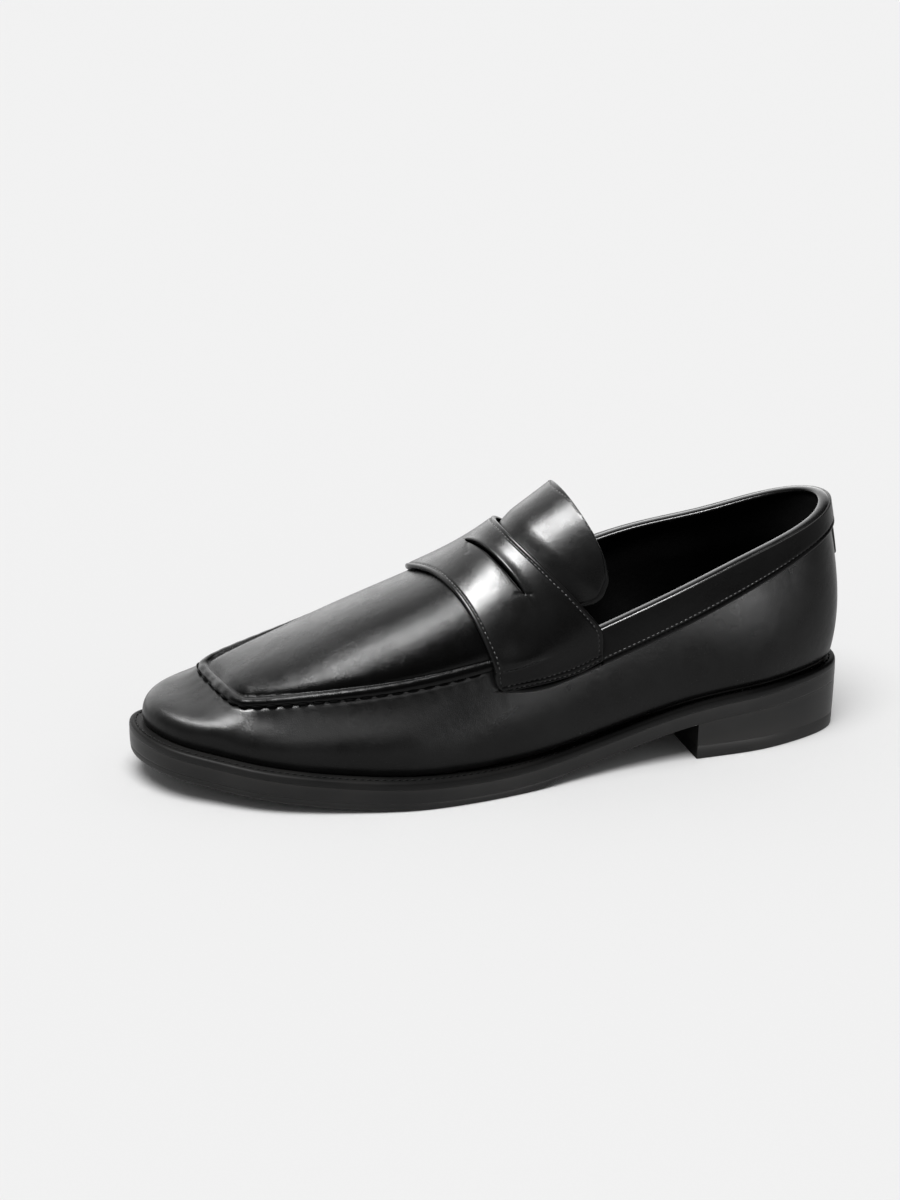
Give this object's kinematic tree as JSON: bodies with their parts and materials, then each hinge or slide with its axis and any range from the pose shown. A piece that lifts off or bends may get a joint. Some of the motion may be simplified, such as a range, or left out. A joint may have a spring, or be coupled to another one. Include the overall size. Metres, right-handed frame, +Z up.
{
  "type": "penny loafer",
  "caption": "Black leather penny loafer, left shoe: apron toe, slotted strap over the instep, open tongue, low stacked heel, leather-lined foot opening.",
  "frame": {"origin": "on the ground, under the middle of the heel", "axes": "+Z up, toe towards -Y, outer (lateral) side of the left foot towards +X"},
  "size_m": [0.1001, 0.3022, 0.1146],
  "materials": {
    "upper_calf": "smooth black calf, satin gloss",
    "lining_leather": "matt black lining leather",
    "sole_edge": "black inked and waxed sole and heel edge",
    "welt_leather": "black waxed welt",
    "rubber_bottom": "matt black rubber",
    "leather_board": "matt leather board",
    "cork": "granular cork",
    "foam": "open-cell foam",
    "steel": "plain steel"
  },
  "bodies": {
    "shoe": {"heel_top_lift": "rubber_bottom", "heel_block": "sole_edge", "heel_nail_1": "steel", "heel_nail_2": "steel", "heel_nail_3": "steel", "heel_nail_4": "steel", "heel_nail_5": "steel", "outsole": "sole_edge", "forepart_tread": "rubber_bottom", "welt": "welt_leather", "shank": "steel", "cork_filler": "cork", "insole_board": "leather_board", "heel_pad": "foam", "sock_lining": "lining_leather", "vamp_skirt": "upper_calf", "toe_puff": "leather_board", "heel_counter": "leather_board", "quarter_lining": "lining_leather", "vamp_lining": "lining_leather", "apron_plug": "upper_calf", "plug_lining": "lining_leather", "penny_strap": "upper_calf", "collar_strip": "upper_calf", "topline_binding": "upper_calf", "heel_tab": "upper_calf"},
    "tongue": {"tongue": "upper_calf", "tongue_lining": "lining_leather"}
  },
  "joints": [
    {"name": "tongue_lift", "type": "hinge", "parent": "shoe", "child": "tongue", "pos_m": [0, -0.101, 0.084], "axis": [1, 0, 0], "range_deg": [-5, 15]}
  ]
}
